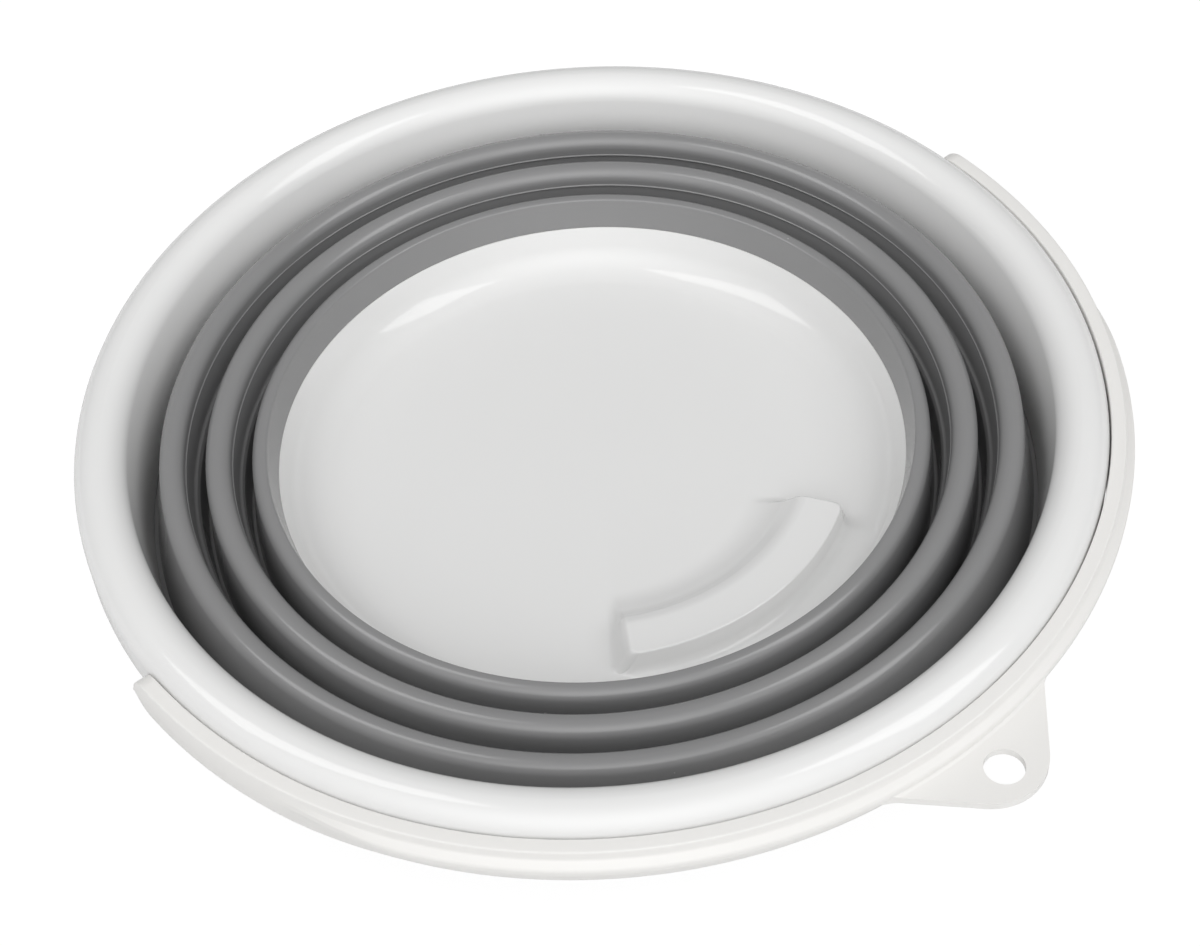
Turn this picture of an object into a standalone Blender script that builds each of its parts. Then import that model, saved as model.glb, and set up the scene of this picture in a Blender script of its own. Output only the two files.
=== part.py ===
"""Collapsible bucket, modelled folded flat with its handle lying round the rim.

A stiff rim and a stiff shallow base are joined by a soft wall with three folds. Folded, each
fold hangs as a ring between the rim and the base. Pulled up, every fold turns inside out
and the wall stands as a cone. The wall is split at its bending skins, so that each ring is
a body of its own that slides up the middle axis. Metres, +Z up, origin at the middle of
the underside, handle and hanging tab towards -Y.
"""

import math

import bmesh
import bpy

# Fineness of the round shapes
TURN_STEPS = 48
HANDLE_STEPS = 36
HANDLE_END_STEPS = 4
STUD_STEPS = 16
HOLE_STEPS = 24
TAB_TIP_STEPS = 10
GRIP_STEPS = 12
SMOOTH_ANGLE = math.radians(35.0)

# Fits between pieces
SEAT_GAP = 0.0003
CUT_OVERRUN = 0.002
WELD_DISTANCE = 0.000001

# Base, a shallow stiff dish
BASE_MOUTH_RADIUS = 0.098
BASE_DEPTH = 0.013
BASE_WALL = 0.0022
BASE_WALL_LEAN = math.radians(25.0)
BASE_FILLET = 0.013
FOOT_HEIGHT = 0.0008
FOOT_RING_INSET = 0.0016
FOOT_RING_WIDTH = 0.006
HUB_RADIUS = 0.016
BASE_RIB_COUNT = 6
BASE_RIB_WIDTH = 0.0022
BASE_RIB_SET_UP = 0.0003

# Tipping grip, a finger pocket pressed up into the base
GRIP_RISE = 0.009
GRIP_INSET = 0.0036
GRIP_WIDTH = 0.0135
GRIP_OUTER_DRAFT = 0.0012
GRIP_INNER_DRAFT = 0.004
GRIP_END_DRAFT = 0.0048
GRIP_HALF_SPAN = math.radians(32.0)
GRIP_EDGE_ROUND = 0.001

# Soft folding wall, its rings listed from the base outwards
CREST_WIDTHS = (0.0074, 0.008, 0.0078)
CREST_RISES = (0.0106, 0.0022, 0.0016)
VALLEY_WIDTHS = (0.0042, 0.0037, 0.0057)
LEDGE_WIDTHS = (0.002, 0.0026)
STEP_DROPS = (0.0059, 0.0066)
STEP_SET_BACK = 0.0004
LEDGE_DROPS = (0.0108, 0.0129)
LEDGE_ROUND = 0.0005
CREST_WALL = 0.002
BAND_WALL = 0.0028
BAND_LEAN = 0.001
SKIN_WALL = 0.0012
SKIN_FOOT_SET = 0.001
FOLD_FOOT_HEIGHT = 0.0015
FOLD_WEB = 0.0014
BASE_CUFF_DEPTH = 0.009
BASE_CUFF_WALL = 0.0018
RIM_CUFF_HEIGHT = 0.012
RIM_CUFF_WALL = 0.0016

# Stiff rim, a tall inner wall under a broad rolled collar
RIM_RISE = 0.0101
RIM_WALL_LEAN = 0.0032
RIM_WIDTH = 0.0159
RIM_WALL = 0.002
RIM_INNER_ROUND = 0.005
RIM_OUTER_ROUND = 0.008
RIM_CROWN = 0.0004
RIM_SKIRT_HEIGHT = 0.0175
RIM_RIB_COUNT = 16
RIM_RIB_WALL = 0.0015
RIM_RIB_SET_UP = 0.004

# Pivots of the handle, below the top of the rim
PIVOT_DROP = 0.01225
STUD_RADIUS = 0.0033
STUD_CLEARANCE = 0.0003
STUD_HEAD_OVERHANG = 0.0008
STUD_HEAD_LENGTH = 0.001
SOCKET_WALL = 0.0016
SOCKET_LENGTH = 0.005

# Handle, a half ring that lies round the rim
HANDLE_CLEARANCE = 0.0009
HANDLE_HEIGHT = 0.0145
HANDLE_END_WIDTH = 0.0044
HANDLE_GRIP_WIDTH = 0.0068
HANDLE_GRIP_SPAN = math.radians(55.0)
HANDLE_BLEND_SPAN = math.radians(78.0)
# Height, width at the ends and width at the grip, for each corner of the section
HANDLE_SECTION_SHARES = (
    (0.96, 0.00, 0.00),
    (1.00, 0.10, 0.06),
    (1.00, 0.88, 0.56),
    (0.96, 0.96, 0.62),
    (0.83, 0.98, 0.63),
    (0.74, 0.99, 0.86),
    (0.64, 1.00, 1.00),
    (0.52, 1.00, 0.97),
    (0.42, 0.98, 0.62),
    (0.00, 0.78, 0.50),
    (0.00, 0.10, 0.06),
    (0.04, 0.00, 0.00),
)

# Hanging tab, moulded on the middle of the handle
TAB_REACH = 0.0208
TAB_TIP_RADIUS = 0.017
TAB_FLANK_ANGLE = math.radians(47.0)
TAB_THICKNESS = 0.0025
TAB_SET_UP = 0.005
TAB_ROOT_SHARE = 0.35
TAB_HOLE_RADIUS = 0.0058
TAB_HOLE_INSET = 0.0106

WHITE = (0.80, 0.80, 0.79, 1.0)
WARM_WHITE = (0.80, 0.79, 0.765, 1.0)
SOFT_GREY = (0.27, 0.27, 0.272, 1.0)

# Heights worked out from the sizes above
FLOOR_TOP = FOOT_HEIGHT + BASE_WALL
MOUTH_HEIGHT = FLOOR_TOP + BASE_DEPTH
WEB_TOP = FOLD_FOOT_HEIGHT + FOLD_WEB
SKIN_FOOT = WEB_TOP + SEAT_GAP


class Crest:
    """One rounded fold of the soft wall, as it stands when the bucket is folded."""

    def __init__(self, inner, width, top):
        self.inner = inner
        self.reach = width / 2
        self.outer = inner + width
        self.top = top
        self.centre = (inner + self.reach, top - self.reach)
        self.parting = math.degrees(math.asin(SEAT_GAP / 2 / self.reach))

    def travel(self):
        """How far this fold lifts what it carries when it turns inside out."""
        return 2 * (self.top - SKIN_FOOT)


def lay_out_folds():
    """Crests from the base outwards, and the inner face of the wall outside each of them."""
    crests = []
    walls = []
    inner = BASE_MOUTH_RADIUS
    top = MOUTH_HEIGHT
    for index, width in enumerate(CREST_WIDTHS):
        top += CREST_RISES[index]
        crest = Crest(inner, width, top)
        wall = crest.outer + VALLEY_WIDTHS[index]
        crests.append(crest)
        walls.append(wall)
        if index < len(LEDGE_WIDTHS):
            inner = wall + LEDGE_WIDTHS[index]
    return crests, walls


CRESTS, WALLS = lay_out_folds()
RIM_INNER_LOW = WALLS[-1]
RIM_INNER_HIGH = RIM_INNER_LOW + RIM_WALL_LEAN
RIM_RADIUS = RIM_INNER_HIGH + RIM_WIDTH
RIM_TOP = CRESTS[-1].top + RIM_RISE
SKIRT_BOTTOM = RIM_TOP - RIM_SKIRT_HEIGHT
PIVOT_HEIGHT = RIM_TOP - PIVOT_DROP
HANDLE_INNER = RIM_RADIUS + HANDLE_CLEARANCE
HANDLE_BOTTOM = PIVOT_HEIGHT - HANDLE_HEIGHT / 2
SOCKET_RADIUS = STUD_RADIUS + STUD_CLEARANCE


def clear_scene():
    for leftover in list(bpy.data.objects):
        bpy.data.objects.remove(leftover, do_unlink=True)


def make_look(name, colour, roughness):
    look = bpy.data.materials.new(name)
    look.use_nodes = True
    shader = look.node_tree.nodes["Principled BSDF"]
    shader.inputs["Base Color"].default_value = colour
    shader.inputs["Roughness"].default_value = roughness
    shader.inputs["Metallic"].default_value = 0.0
    look.diffuse_color = colour
    return look


def add_frame(name, parent=None, height=0.0):
    """An empty on a joint's axis, which carries the pieces of one body."""
    frame = bpy.data.objects.new(name, None)
    bpy.context.scene.collection.objects.link(frame)
    frame.parent = parent
    frame.location = (0.0, 0.0, height)
    return frame


def add_object(name, shape, parent, look=None):
    bmesh.ops.recalc_face_normals(shape, faces=shape.faces)
    mesh = bpy.data.meshes.new(name)
    shape.to_mesh(mesh)
    shape.free()
    mesh.shade_smooth()
    mesh.set_sharp_from_angle(angle=SMOOTH_ANGLE)
    piece = bpy.data.objects.new(name, mesh)
    bpy.context.scene.collection.objects.link(piece)
    piece.parent = parent
    if look is not None:
        mesh.materials.append(look)
    return piece


def combine(target, tool, operation):
    """Join a hidden helper to a piece, or cut it away."""
    tool.hide_render = True
    tool.display_type = "WIRE"
    step = target.modifiers.new(tool.name, "BOOLEAN")
    step.operation = operation
    step.solver = "EXACT"
    step.object = tool


def arc(centre, radius, start, end, steps):
    """Points round part of a circle, in radius and height, with angles in degrees."""
    points = []
    for step in range(steps + 1):
        angle = math.radians(start + (end - start) * step / steps)
        points.append((centre[0] + radius * math.cos(angle), centre[1] + radius * math.sin(angle)))
    return points


def turn(outline, is_closed=True):
    """Turn an outline of radius and height round the middle axis."""
    shape = bmesh.new()
    corners = [shape.verts.new((radius, 0.0, height)) for radius, height in outline]
    edges = [shape.edges.new(pair) for pair in zip(corners, corners[1:])]
    if is_closed:
        edges.append(shape.edges.new((corners[-1], corners[0])))
    bmesh.ops.spin(
        shape,
        geom=corners + edges,
        cent=(0.0, 0.0, 0.0),
        axis=(0.0, 0.0, 1.0),
        angle=math.tau,
        steps=TURN_STEPS,
        use_merge=True,
    )
    bmesh.ops.remove_doubles(shape, verts=shape.verts, dist=WELD_DISTANCE)
    return shape


def add_box(shape, low, high, angle=0.0):
    """A block between two corners, turned round the middle axis."""
    cosine = math.cos(angle)
    sine = math.sin(angle)
    corners = []
    for z in (low[2], high[2]):
        for x, y in ((low[0], low[1]), (high[0], low[1]), (high[0], high[1]), (low[0], high[1])):
            corners.append(shape.verts.new((x * cosine - y * sine, x * sine + y * cosine, z)))
    for face in ((3, 2, 1, 0), (4, 5, 6, 7), (0, 1, 5, 4), (1, 2, 6, 5), (2, 3, 7, 6), (3, 0, 4, 7)):
        shape.faces.new([corners[index] for index in face])


def add_bar(shape, radius, inner, outer, side, height, steps):
    """A round bar along X on one side, from one distance off the middle axis to another."""
    rings = []
    for distance in (inner, outer):
        ring = []
        for step in range(steps):
            angle = math.tau * step / steps
            place = (side * distance, radius * math.cos(angle), height + radius * math.sin(angle))
            ring.append(shape.verts.new(place))
        rings.append(ring)
    for step in range(steps):
        after = (step + 1) % steps
        shape.faces.new((rings[0][step], rings[0][after], rings[1][after], rings[1][step]))
    shape.faces.new(rings[0])
    shape.faces.new(rings[1])


def arc_block(low, high, steps):
    """A block bent round the middle axis towards -Y.

    low and high each give inner radius, outer radius, half span and height.
    """
    shape = bmesh.new()
    stations = []
    for step in range(steps + 1):
        share = 2 * step / steps - 1
        station = []
        for inner, outer, half_span, height in (low, high):
            angle = half_span * share - math.pi / 2
            for radius in (inner, outer):
                place = (radius * math.cos(angle), radius * math.sin(angle), height)
                station.append(shape.verts.new(place))
        stations.append(station)
    order = (0, 1, 3, 2)
    for before, after in zip(stations, stations[1:]):
        for index, corner in enumerate(order):
            following = order[(index + 1) % len(order)]
            shape.faces.new((before[corner], before[following], after[following], after[corner]))
    for station in (stations[0], stations[-1]):
        shape.faces.new([station[corner] for corner in order])
    return shape


def base_outline():
    """Section of the dish, from the floor out to the mouth and back under to the hub."""
    slope = math.sin(BASE_WALL_LEAN)
    rise = math.cos(BASE_WALL_LEAN)
    fillet = min(BASE_FILLET, BASE_DEPTH / (1 - slope))
    run = (BASE_DEPTH - fillet * (1 - slope)) / rise
    centre = (BASE_MOUTH_RADIUS - run * slope - fillet * rise, FLOOR_TOP + fillet)
    lean = math.degrees(BASE_WALL_LEAN)
    foot_outer = centre[0] - FOOT_RING_INSET
    foot_inner = foot_outer - FOOT_RING_WIDTH
    outline = [(0.0, FLOOR_TOP)]
    outline += arc(centre, fillet, -90.0, -lean, 5)
    outline.append((BASE_MOUTH_RADIUS, MOUTH_HEIGHT))
    outline.append((BASE_MOUTH_RADIUS + BASE_WALL / rise, MOUTH_HEIGHT))
    outline += arc(centre, fillet + BASE_WALL, -lean, -90.0, 4)
    outline.append((foot_outer, FOOT_HEIGHT))
    outline.append((foot_outer, 0.0))
    outline.append((foot_inner, 0.0))
    outline.append((foot_inner, FOOT_HEIGHT))
    outline.append((HUB_RADIUS, FOOT_HEIGHT))
    outline.append((HUB_RADIUS, 0.0))
    outline.append((0.0, 0.0))
    return outline, centre[0], foot_inner


def build_base(frame):
    outline, floor_radius, foot_inner = base_outline()
    look = make_look("base", WHITE, 0.22)
    base = add_object("base", turn(outline, is_closed=False), frame, look)

    ribs = bmesh.new()
    half = BASE_RIB_WIDTH / 2
    for index in range(BASE_RIB_COUNT):
        angle = math.tau * (index + 0.5) / BASE_RIB_COUNT
        low = (HUB_RADIUS - BASE_WALL, -half, BASE_RIB_SET_UP)
        high = (foot_inner + BASE_WALL, half, FOOT_HEIGHT + BASE_WALL / 2)
        add_box(ribs, low, high, angle)
    combine(base, add_object("base_ribs", ribs, frame), "UNION")

    outer = floor_radius - GRIP_INSET
    inner = outer - GRIP_WIDTH
    grip_top = FLOOR_TOP + GRIP_RISE
    end_draft = GRIP_END_DRAFT / outer
    low = (inner - GRIP_INNER_DRAFT, outer + GRIP_OUTER_DRAFT, GRIP_HALF_SPAN + end_draft,
           FLOOR_TOP - BASE_WALL / 2)
    high = (inner, outer, GRIP_HALF_SPAN, grip_top)
    raised = arc_block(low, high, GRIP_STEPS)
    bmesh.ops.recalc_face_normals(raised, faces=raised.faces)
    rounded = [edge for edge in raised.edges
               if all(abs(corner.co.z - grip_top) < WELD_DISTANCE for corner in edge.verts)
               and len(edge.link_faces) == 2
               and edge.calc_face_angle(0.0) > SMOOTH_ANGLE]
    bmesh.ops.bevel(raised, geom=rounded, offset=GRIP_EDGE_ROUND, segments=2, profile=0.5,
                    affect="EDGES", clamp_overlap=True, material=-1)
    combine(base, add_object("grip_outside", raised, frame), "UNION")

    wall_span = BASE_WALL / outer
    low = (low[0] + BASE_WALL, low[1] - BASE_WALL, low[2] - wall_span, -CUT_OVERRUN)
    high = (high[0] + BASE_WALL, high[1] - BASE_WALL, high[2] - wall_span, grip_top - BASE_WALL)
    pocket = arc_block(low, high, GRIP_STEPS)
    combine(base, add_object("grip_pocket", pocket, frame), "DIFFERENCE")
    return base


def skin_outline(crest, wall):
    """Thin bending skin, from the top of a crest down its outer side to the foot of the fold."""
    foot = wall_foot(wall) - SKIN_FOOT_SET
    start = 90.0 - crest.parting
    outline = arc(crest.centre, crest.reach, start, 0.0, 4)
    outline.append((foot, SKIN_FOOT))
    outline.append((foot - SKIN_WALL, SKIN_FOOT))
    outline += arc(crest.centre, crest.reach - SKIN_WALL, 0.0, start, 3)
    return outline


def wall_foot(wall):
    """Inner face of a wall at its lower edge. The rim's wall is given there already."""
    if wall == RIM_INNER_LOW:
        return wall
    return wall - BAND_LEAN


def crest_inside(crest):
    """The hollow underside of a crest's fixed inner half, from its wall up to the parting."""
    return arc(crest.centre, crest.reach - CREST_WALL, 180.0, 90.0 + crest.parting, 3)


def ring_outline(crest, wall, step_drop, ledge_drop):
    """Section of a folding ring: half a crest, a small step, a ledge and the band below it."""
    step = crest.top - step_drop
    ledge = crest.top - ledge_drop
    foot = wall_foot(wall)
    skin_side = foot - SKIN_FOOT_SET - SKIN_WALL
    outline = arc(crest.centre, crest.reach, 90.0 + crest.parting, 180.0, 4)
    outline.append((crest.inner, step))
    outline.append((crest.inner + STEP_SET_BACK, step - STEP_SET_BACK))
    outline.append((crest.inner + STEP_SET_BACK, ledge))
    outline.append((wall + LEDGE_ROUND, ledge))
    outline.append((wall, ledge - LEDGE_ROUND))
    outline.append((foot, WEB_TOP))
    outline.append((skin_side, WEB_TOP))
    outline.append((skin_side, FOLD_FOOT_HEIGHT))
    outline.append((foot + BAND_WALL, FOLD_FOOT_HEIGHT))
    outline.append((wall + BAND_WALL, ledge - CREST_WALL))
    outline.append((crest.inner + CREST_WALL, ledge))
    outline += crest_inside(crest)
    return outline


def base_cuff_outline(crest):
    """Section of the soft cuff that grips the base and rises into the innermost crest."""
    slope = math.tan(BASE_WALL_LEAN)
    base_side = BASE_MOUTH_RADIUS + (BASE_WALL + SEAT_GAP) / math.cos(BASE_WALL_LEAN)
    seat = MOUTH_HEIGHT + SEAT_GAP
    bottom = MOUTH_HEIGHT - BASE_CUFF_DEPTH
    low_side = base_side - BASE_CUFF_DEPTH * slope
    outline = arc(crest.centre, crest.reach, 90.0 + crest.parting, 180.0, 4)
    outline.append((crest.inner, seat))
    outline.append((base_side + SEAT_GAP * slope, seat))
    outline.append((low_side, bottom))
    outline.append((low_side + BASE_CUFF_WALL, bottom))
    outline.append((base_side + BASE_CUFF_WALL, MOUTH_HEIGHT))
    outline.append((base_side + BASE_CUFF_WALL, seat + BASE_CUFF_WALL))
    outline.append((crest.inner + CREST_WALL, crest.centre[1] - crest.reach / 2))
    outline += crest_inside(crest)
    return outline


def rim_cuff_outline():
    """Section of the soft cuff round the lower edge of the rim's wall, with the skin's seat."""
    inside = RIM_INNER_LOW - SKIN_FOOT_SET - SKIN_WALL
    wall_side = RIM_INNER_LOW + RIM_WALL + SEAT_GAP
    lean = RIM_WALL_LEAN * RIM_CUFF_HEIGHT / (RIM_TOP - SKIN_FOOT - RIM_INNER_ROUND)
    top = SKIN_FOOT + RIM_CUFF_HEIGHT
    return [
        (inside, WEB_TOP),
        (inside, FOLD_FOOT_HEIGHT),
        (wall_side + RIM_CUFF_WALL, FOLD_FOOT_HEIGHT),
        (wall_side + RIM_CUFF_WALL + lean, top),
        (wall_side + lean, top),
        (wall_side, WEB_TOP),
    ]


def rim_outline():
    """Section of the rim: inner wall, crowned collar and outer skirt, hollow from below."""
    edge_top = RIM_TOP - RIM_CROWN
    inner_centre = (RIM_INNER_HIGH + RIM_INNER_ROUND, edge_top - RIM_INNER_ROUND)
    outer_centre = (RIM_RADIUS - RIM_OUTER_ROUND, edge_top - RIM_OUTER_ROUND)
    middle = (inner_centre[0] + outer_centre[0]) / 2
    outline = [(RIM_INNER_LOW, SKIN_FOOT)]
    outline += arc(inner_centre, RIM_INNER_ROUND, 180.0, 90.0, 4)
    outline.append((middle, RIM_TOP))
    outline += arc(outer_centre, RIM_OUTER_ROUND, 90.0, 0.0, 4)
    outline.append((RIM_RADIUS, SKIRT_BOTTOM))
    outline.append((RIM_RADIUS - RIM_WALL, SKIRT_BOTTOM))
    outline += arc(outer_centre, RIM_OUTER_ROUND - RIM_WALL, 0.0, 90.0, 3)
    outline.append((middle, RIM_TOP - RIM_WALL))
    outline += arc(inner_centre, RIM_INNER_ROUND - RIM_WALL, 90.0, 180.0, 3)
    outline.append((RIM_INNER_LOW + RIM_WALL, SKIN_FOOT))
    return outline


def build_rim(frame):
    look = make_look("rim", WHITE, 0.25)
    rim = add_object("rim", turn(rim_outline()), frame, look)

    ribs = bmesh.new()
    half = RIM_RIB_WALL / 2
    bite = RIM_WALL / 2
    low = (RIM_INNER_HIGH + bite / 2, -half, SKIRT_BOTTOM + RIM_RIB_SET_UP)
    high = (RIM_RADIUS - bite, half, RIM_TOP - RIM_CROWN - bite - RIM_OUTER_ROUND / 2)
    for index in range(RIM_RIB_COUNT):
        angle = math.tau * (index + 0.5) / RIM_RIB_COUNT
        add_box(ribs, low, high, angle)
    combine(rim, add_object("rim_ribs", ribs, frame), "UNION")

    sockets = bmesh.new()
    holes = bmesh.new()
    socket_end = RIM_RADIUS - SOCKET_LENGTH
    for side in (-1, 1):
        add_bar(sockets, SOCKET_RADIUS + SOCKET_WALL, socket_end, RIM_RADIUS - bite, side,
                PIVOT_HEIGHT, HOLE_STEPS)
        add_bar(holes, SOCKET_RADIUS, socket_end - CUT_OVERRUN, RIM_RADIUS + CUT_OVERRUN, side,
                PIVOT_HEIGHT, HOLE_STEPS)
    combine(rim, add_object("rim_sockets", sockets, frame), "UNION")
    combine(rim, add_object("rim_socket_holes", holes, frame), "DIFFERENCE")
    return rim


def handle_blend(angle):
    """Share of the grip section at an angle off the middle of the handle, from 1 down to 0."""
    share = (HANDLE_BLEND_SPAN - abs(angle)) / (HANDLE_BLEND_SPAN - HANDLE_GRIP_SPAN)
    share = min(1.0, max(0.0, share))
    return share * share * (3 - 2 * share)


def handle_stations():
    """Angles off the middle of the handle, each with the share of the height there."""
    quarter = math.pi / 2
    half_height = HANDLE_HEIGHT / 2
    ends = []
    for step in range(1, HANDLE_END_STEPS + 1):
        swing = math.radians(86.0) * step / HANDLE_END_STEPS
        ends.append((quarter + half_height * math.sin(swing) / HANDLE_INNER, math.cos(swing)))
    stations = [(-angle, share) for angle, share in reversed(ends)]
    for step in range(HANDLE_STEPS + 1):
        stations.append((math.pi * step / HANDLE_STEPS - quarter, 1.0))
    return stations + ends


def handle_shape():
    """The half ring, lofted through its sections, with heights counted from the pivots."""
    shape = bmesh.new()
    rings = []
    for angle, tallness in handle_stations():
        blend = handle_blend(angle)
        azimuth = angle - math.pi / 2
        ring = []
        for height_share, end_share, grip_share in HANDLE_SECTION_SHARES:
            width = HANDLE_END_WIDTH * end_share * (1 - blend) + HANDLE_GRIP_WIDTH * grip_share * blend
            radius = HANDLE_INNER + width
            height = HANDLE_HEIGHT * (height_share - 0.5) * tallness
            place = (radius * math.cos(azimuth), radius * math.sin(azimuth), height)
            ring.append(shape.verts.new(place))
        rings.append(ring)
    count = len(HANDLE_SECTION_SHARES)
    for before, after in zip(rings, rings[1:]):
        for index in range(count):
            following = (index + 1) % count
            shape.faces.new((before[index], before[following], after[following], after[index]))
    shape.faces.new(rings[0])
    shape.faces.new(rings[-1])
    return shape


def tab_outline():
    """Outline of the hanging tab in X and distance off the middle axis, round its tip."""
    tip = HANDLE_INNER + HANDLE_GRIP_WIDTH + TAB_REACH
    centre = (0.0, tip - TAB_TIP_RADIUS)
    root = HANDLE_INNER + TAB_ROOT_SHARE * HANDLE_GRIP_WIDTH
    flank = math.degrees(TAB_FLANK_ANGLE)
    outline = arc(centre, TAB_TIP_RADIUS, 90.0 - flank, 90.0 + flank, TAB_TIP_STEPS)
    across, out = outline[0]
    step_across = math.cos(TAB_FLANK_ANGLE)
    step_out = -math.sin(TAB_FLANK_ANGLE)
    middle_term = across * step_across + out * step_out
    length = -middle_term - math.sqrt(middle_term ** 2 - (across ** 2 + out ** 2 - root ** 2))
    corner = (across + length * step_across, out + length * step_out)
    outline.append((-corner[0], corner[1]))
    half_span = math.degrees(math.asin(corner[0] / root))
    outline += arc((0.0, 0.0), root, 90.0 + half_span, 90.0 - half_span, 6)[1:]
    return outline, tip


def build_handle(frame):
    look = make_look("handle", WARM_WHITE, 0.34)
    handle = add_object("handle", handle_shape(), frame, look)

    outline, tip = tab_outline()
    low = TAB_SET_UP - HANDLE_HEIGHT / 2
    high = low + TAB_THICKNESS
    tab = bmesh.new()
    layers = [[tab.verts.new((x, -distance, z)) for x, distance in outline] for z in (low, high)]
    for index in range(len(outline)):
        after = (index + 1) % len(outline)
        tab.faces.new((layers[0][index], layers[0][after], layers[1][after], layers[1][index]))
    tab.faces.new(layers[0])
    tab.faces.new(layers[1])
    combine(handle, add_object("tab_outside", tab, frame), "UNION")

    hole = bmesh.new()
    hole_place = (0.0, TAB_HOLE_INSET - tip)
    for z in (low - CUT_OVERRUN, high + CUT_OVERRUN):
        circle = bmesh.ops.create_circle(hole, cap_ends=True, radius=TAB_HOLE_RADIUS,
                                         segments=HOLE_STEPS)
        bmesh.ops.translate(hole, verts=circle["verts"], vec=(*hole_place, z))
    bmesh.ops.bridge_loops(hole, edges=hole.edges)
    combine(handle, add_object("tab_hole", hole, frame), "DIFFERENCE")

    studs = bmesh.new()
    head_end = RIM_RADIUS - SOCKET_LENGTH - SEAT_GAP
    for side in (-1, 1):
        add_bar(studs, STUD_RADIUS, head_end - STUD_HEAD_LENGTH / 2,
                HANDLE_INNER + HANDLE_END_WIDTH / 2, side, 0.0, STUD_STEPS)
    combine(handle, add_object("handle_studs", studs, frame), "UNION")
    heads = bmesh.new()
    for side in (-1, 1):
        add_bar(heads, SOCKET_RADIUS + STUD_HEAD_OVERHANG, head_end - STUD_HEAD_LENGTH, head_end,
                side, 0.0, STUD_STEPS)
    combine(handle, add_object("handle_stud_heads", heads, frame), "UNION")
    return handle


def build_bucket():
    clear_scene()
    base_frame = add_frame("base_frame")
    inner_frame = add_frame("inner_ring_slide", base_frame)
    outer_frame = add_frame("outer_ring_slide", inner_frame)
    rim_frame = add_frame("rim_slide", outer_frame)
    handle_frame = add_frame("handle_pivot", rim_frame, PIVOT_HEIGHT)

    build_base(base_frame)
    base_crest, inner_crest, outer_crest = CRESTS
    inner_wall, outer_wall, rim_wall = WALLS
    soft_pieces = (
        ("base_cuff", base_cuff_outline(base_crest), base_frame),
        ("base_fold_skin", skin_outline(base_crest, inner_wall), base_frame),
        ("inner_fold_ring", ring_outline(inner_crest, inner_wall, STEP_DROPS[0], LEDGE_DROPS[0]),
         inner_frame),
        ("inner_fold_skin", skin_outline(inner_crest, outer_wall), inner_frame),
        ("outer_fold_ring", ring_outline(outer_crest, outer_wall, STEP_DROPS[1], LEDGE_DROPS[1]),
         outer_frame),
        ("outer_fold_skin", skin_outline(outer_crest, rim_wall), outer_frame),
        ("rim_cuff", rim_cuff_outline(), rim_frame),
    )
    for name, outline, frame in soft_pieces:
        add_object(name, turn(outline), frame, make_look(name, SOFT_GREY, 0.5))
    build_rim(rim_frame)
    build_handle(handle_frame)

    for crest in CRESTS:
        print("crest top", round(crest.top, 5), "travel", round(crest.travel(), 5))
    print("rim radius", round(RIM_RADIUS, 5), "top", round(RIM_TOP, 5))
    print("pivot height", round(PIVOT_HEIGHT, 5), "handle bottom", round(HANDLE_BOTTOM, 5))


build_bucket()
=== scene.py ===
# %% [markdown]
# # A collapsible bucket, folded flat
#
# This lesson dresses a folding bucket. The real one is four mouldings: a stiff white rim, a
# stiff white dish as its base, a soft grey wall with three folds between them, and a half-ring
# handle that lies round the rim. Nearly all of it is turned round one middle axis, so the
# lesson comes back to one idea: draw a section, round its corners, and spin it.

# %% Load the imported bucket
import math

import bmesh
import bpy
from mathutils import Matrix, Vector


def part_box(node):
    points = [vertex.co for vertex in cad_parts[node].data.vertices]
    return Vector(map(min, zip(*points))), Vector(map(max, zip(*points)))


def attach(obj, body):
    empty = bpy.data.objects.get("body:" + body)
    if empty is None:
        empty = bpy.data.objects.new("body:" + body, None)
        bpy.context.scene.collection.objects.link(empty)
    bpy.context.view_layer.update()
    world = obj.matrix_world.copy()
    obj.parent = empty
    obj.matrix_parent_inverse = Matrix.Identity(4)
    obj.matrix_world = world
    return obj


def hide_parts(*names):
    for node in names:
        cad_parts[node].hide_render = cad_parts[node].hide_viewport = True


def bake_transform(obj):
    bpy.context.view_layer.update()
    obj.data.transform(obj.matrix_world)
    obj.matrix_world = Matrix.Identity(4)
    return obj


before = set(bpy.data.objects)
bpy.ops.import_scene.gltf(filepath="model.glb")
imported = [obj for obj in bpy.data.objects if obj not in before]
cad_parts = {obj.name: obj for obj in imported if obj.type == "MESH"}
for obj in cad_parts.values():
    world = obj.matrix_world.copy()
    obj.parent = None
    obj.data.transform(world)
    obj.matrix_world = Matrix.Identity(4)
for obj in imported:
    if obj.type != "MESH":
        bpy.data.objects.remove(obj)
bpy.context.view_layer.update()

# %% [markdown]
# ## Sizes
#
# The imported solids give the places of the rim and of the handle's pivots. The other sizes, such
# as the radius of a rounded corner, are named where they are first needed. Sections are written
# in millimetres, as on a drawing, and MM turns a size in millimetres into metres.

# %% Read the main sizes from the solids
MM = 0.001


def outer_radius(node):
    """Outer radius of a turned solid."""
    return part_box(node)[1].x


rim_radius = outer_radius("rim")
handle_low, handle_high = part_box("handle")
pivot_height = (handle_low.z + handle_high.z) / 2
print("rim radius", round(rim_radius / MM, 1), "mm, pivots at", round(pivot_height / MM, 2), "mm")

# %% [markdown]
# ## The camera
#
# The bucket was looked at from above, at about 49 degrees, with a long lens, and the camera was
# a little out of level. It could be placed by eye, but the circles of the rim and the dish fix
# all of this better, because each circle's ellipse in the picture only fits one direction.

# %% Place the camera
CAMERA_PLACE = Vector((-309.5, -416.8, 592.3)) * MM
CAMERA_AIM = Vector((-6.2, -11.7, 16.1)) * MM
CAMERA_ROLL = math.radians(-4.39)
CAMERA_LENS = 74.2
CAMERA_NEAR = 10.0 * MM

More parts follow.
